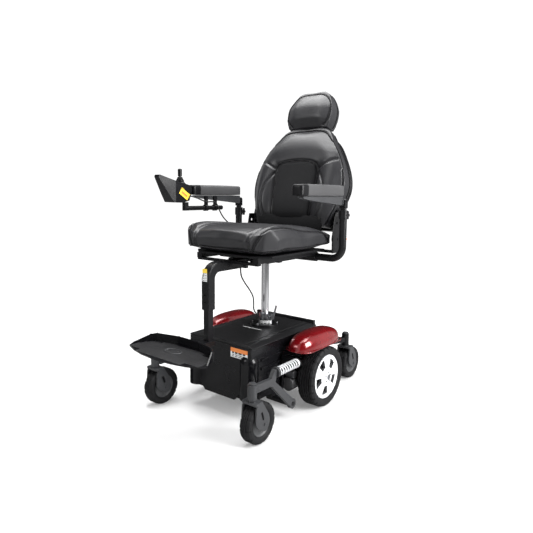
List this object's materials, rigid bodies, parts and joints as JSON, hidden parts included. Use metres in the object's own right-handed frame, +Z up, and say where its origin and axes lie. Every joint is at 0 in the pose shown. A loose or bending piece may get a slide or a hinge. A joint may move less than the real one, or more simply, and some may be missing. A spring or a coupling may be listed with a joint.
{
  "type": "power wheelchair",
  "caption": "Mid-wheel-drive power wheelchair with a raised lift seat, reclining padded back, headrest, flip-up arms, joystick and a centre-mounted foot board.",
  "frame": {"origin": "point on the floor midway between the drive wheels, under their axle", "axes": "+Z up, -Y the way the chair faces, +X the user's left"},
  "size_m": [0.627, 1.108, 1.3695],
  "materials": {
    "frame_black": "satin black powder coat",
    "casing": "fine-textured black moulding",
    "deck": "grained black moulding",
    "red_gloss": "deep metallic red, clear coated",
    "chrome": "polished",
    "zinc": "bright zinc plate",
    "rubber": "black tread rubber",
    "rim_white": "white painted hub",
    "rim_grey": "dark grey caster hub",
    "grey_cast": "dark grey textured coat",
    "leatherette": "black upholstery",
    "soft_pad": "moulded foam skin",
    "controls": "black control housing",
    "battery": "battery case",
    "cable": "black sheath",
    "motor": "cast housing",
    "key_amber": "amber key"
  },
  "bodies": {
    "base": {"chassis_frame": "frame_black", "rear_arms": "frame_black", "front_casing": "casing", "deck_cover": "deck", "batteries": "battery", "power_module": "motor", "lift_column": "frame_black", "lift_clamp": "zinc", "gearmotors": "motor", "motor_brakes": "zinc", "fender_left": "red_gloss", "fender_right": "red_gloss"},
    "seat": {"lift_ram": "chrome", "seat_frame": "frame_black", "footrest_sleeve": "frame_black", "seat_cushion": "leatherette", "arm_supports": "frame_black", "lift_cable": "cable"},
    "backrest": {"back_shell": "casing", "back_cushion": "leatherette"},
    "headrest": {"headrest_post": "chrome", "headrest_pad": "leatherette"},
    "footrest": {"footrest_tube": "frame_black"},
    "footplate": {"footplate": "casing"},
    "gimbal": {"joystick_gimbal": "zinc"},
    "joystick": {"joystick": "controls"},
    "power_button": {"power_button": "key_amber"},
    "front_arm_left": {"front_arm_left": "grey_cast", "suspension_spring_left": "zinc"},
    "drive_wheel_left": {"drive_tyre_left": "rubber", "drive_rim_left": "rim_white"},
    "freewheel_lever_left": {"freewheel_lever_left": "frame_black"},
    "arm_knob_left": {"arm_knob_left": "frame_black"},
    "arm_post_left": {"arm_post_left": "frame_black"},
    "armrest_left": {"armrest_left": "grey_cast", "armrest_pad_left": "soft_pad"},
    "front_fork_left": {"front_fork_left": "grey_cast"},
    "front_caster_left": {"front_caster_rim_left": "rim_grey", "front_caster_tyre_left": "rubber"},
    "rear_fork_left": {"rear_fork_left": "grey_cast"},
    "rear_caster_left": {"rear_caster_rim_left": "rim_grey", "rear_caster_tyre_left": "rubber"},
    "front_arm_right": {"front_arm_right": "grey_cast", "suspension_spring_right": "zinc"},
    "drive_wheel_right": {"drive_tyre_right": "rubber", "drive_rim_right": "rim_white"},
    "freewheel_lever_right": {"freewheel_lever_right": "frame_black"},
    "arm_knob_right": {"arm_knob_right": "frame_black"},
    "arm_post_right": {"arm_post_right": "frame_black"},
    "armrest_right": {"armrest_right": "grey_cast", "armrest_pad_right": "soft_pad", "controller_bracket": "frame_black", "controller_housing": "controls", "joystick_cable": "cable"},
    "front_fork_right": {"front_fork_right": "grey_cast"},
    "front_caster_right": {"front_caster_rim_right": "rim_grey", "front_caster_tyre_right": "rubber"},
    "rear_fork_right": {"rear_fork_right": "grey_cast"},
    "rear_caster_right": {"rear_caster_rim_right": "rim_grey", "rear_caster_tyre_right": "rubber"}
  },
  "joints": [
    {"name": "seat_lift", "type": "slide", "parent": "base", "child": "seat", "axis": [0, 0, 1], "range_m": [-0.19, 0], "deforming": ["lift_cable"]},
    {"name": "suspension_left", "type": "hinge", "parent": "base", "child": "front_arm_left", "pos_m": [0.245, -0.188, 0.061], "axis": [-1, 0, 0], "range_deg": [0, 8], "stiffness_Nm_per_rad": 220, "springref_deg": -14.32, "deforming": ["suspension_spring_left"]},
    {"name": "front_swivel_left", "type": "hinge", "parent": "front_arm_left", "child": "front_fork_left", "pos_m": [0.262, -0.455, 0.2], "axis": [0, 0, 1], "continuous": true},
    {"name": "front_caster_roll_left", "type": "hinge", "parent": "front_fork_left", "child": "front_caster_left", "pos_m": [0.262, -0.424, 0.076], "axis": [1, 0, 0], "continuous": true},
    {"name": "rear_swivel_left", "type": "hinge", "parent": "base", "child": "rear_fork_left", "pos_m": [0.199, 0.326, 0.2], "axis": [0, 0, 1], "continuous": true},
    {"name": "rear_caster_roll_left", "type": "hinge", "parent": "rear_fork_left", "child": "rear_caster_left", "pos_m": [0.199, 0.357, 0.076], "axis": [1, 0, 0], "continuous": true},
    {"name": "drive_roll_left", "type": "hinge", "parent": "base", "child": "drive_wheel_left", "pos_m": [0.262, 0, 0.127], "axis": [1, 0, 0], "continuous": true},
    {"name": "freewheel_left", "type": "hinge", "parent": "base", "child": "freewheel_lever_left", "pos_m": [0.187, 0.0423, 0.135], "axis": [0, 1, 0], "range_deg": [0, 35]},
    {"name": "arm_height_left", "type": "slide", "parent": "seat", "child": "arm_post_left", "axis": [0, 0, 1], "range_m": [0, 0.06]},
    {"name": "armrest_flip_left", "type": "hinge", "parent": "arm_post_left", "child": "armrest_left", "pos_m": [0.29, 0.105, 0.855], "axis": [-1, 0, 0], "range_deg": [0, 95]},
    {"name": "arm_knob_turn_left", "type": "hinge", "parent": "seat", "child": "arm_knob_left", "pos_m": [0.29, 0.133, 0.797], "axis": [0, 1, 0], "continuous": true},
    {"name": "suspension_right", "type": "hinge", "parent": "base", "child": "front_arm_right", "pos_m": [-0.245, -0.188, 0.061], "axis": [-1, 0, 0], "range_deg": [0, 8], "stiffness_Nm_per_rad": 220, "springref_deg": -14.32, "deforming": ["suspension_spring_right"]},
    {"name": "front_swivel_right", "type": "hinge", "parent": "front_arm_right", "child": "front_fork_right", "pos_m": [-0.262, -0.455, 0.2], "axis": [0, 0, 1], "continuous": true},
    {"name": "front_caster_roll_right", "type": "hinge", "parent": "front_fork_right", "child": "front_caster_right", "pos_m": [-0.262, -0.424, 0.076], "axis": [1, 0, 0], "continuous": true},
    {"name": "rear_swivel_right", "type": "hinge", "parent": "base", "child": "rear_fork_right", "pos_m": [-0.199, 0.326, 0.2], "axis": [0, 0, 1], "continuous": true},
    {"name": "rear_caster_roll_right", "type": "hinge", "parent": "rear_fork_right", "child": "rear_caster_right", "pos_m": [-0.199, 0.357, 0.076], "axis": [1, 0, 0], "continuous": true},
    {"name": "drive_roll_right", "type": "hinge", "parent": "base", "child": "drive_wheel_right", "pos_m": [-0.262, 0, 0.127], "axis": [1, 0, 0], "continuous": true},
    {"name": "freewheel_right", "type": "hinge", "parent": "base", "child": "freewheel_lever_right", "pos_m": [-0.187, 0.0423, 0.135], "axis": [0, -1, 0], "range_deg": [0, 35]},
    {"name": "arm_height_right", "type": "slide", "parent": "seat", "child": "arm_post_right", "axis": [0, 0, 1], "range_m": [0, 0.06]},
    {"name": "armrest_flip_right", "type": "hinge", "parent": "arm_post_right", "child": "armrest_right", "pos_m": [-0.29, 0.105, 0.855], "axis": [-1, 0, 0], "range_deg": [0, 95], "deforming": ["joystick_cable"]},
    {"name": "arm_knob_turn_right", "type": "hinge", "parent": "seat", "child": "arm_knob_right", "pos_m": [-0.29, 0.133, 0.797], "axis": [0, 1, 0], "continuous": true},
    {"name": "recline", "type": "hinge", "parent": "seat", "child": "backrest", "pos_m": [0, 0.154, 0.69], "axis": [-1, 0, 0], "range_deg": [-20, 30]},
    {"name": "headrest_height", "type": "slide", "parent": "backrest", "child": "headrest", "axis": [0, 0.2588, 0.9659], "range_m": [0, 0.08]},
    {"name": "footrest_length", "type": "slide", "parent": "seat", "child": "footrest", "axis": [0, 0, 1], "range_m": [-0.04, 0.035]},
    {"name": "footplate_flip", "type": "hinge", "parent": "footrest", "child": "footplate", "pos_m": [0, -0.498, 0.308], "axis": [-1, 0, 0], "range_deg": [0, 88]},
    {"name": "stick_fore_aft", "type": "hinge", "parent": "armrest_right", "child": "gimbal", "pos_m": [-0.285, -0.286, 0.91], "axis": [1, 0, 0], "range_deg": [-15, 15], "stiffness_Nm_per_rad": 0.25},
    {"name": "stick_side", "type": "hinge", "parent": "gimbal", "child": "joystick", "pos_m": [-0.285, -0.286, 0.91], "axis": [0, 1, 0], "range_deg": [-15, 15], "stiffness_Nm_per_rad": 0.25},
    {"name": "power_press", "type": "slide", "parent": "armrest_right", "child": "power_button", "axis": [0, -0.3204, -0.9473], "range_m": [0, 0.0012], "stiffness_N_per_m": 400}
  ]
}
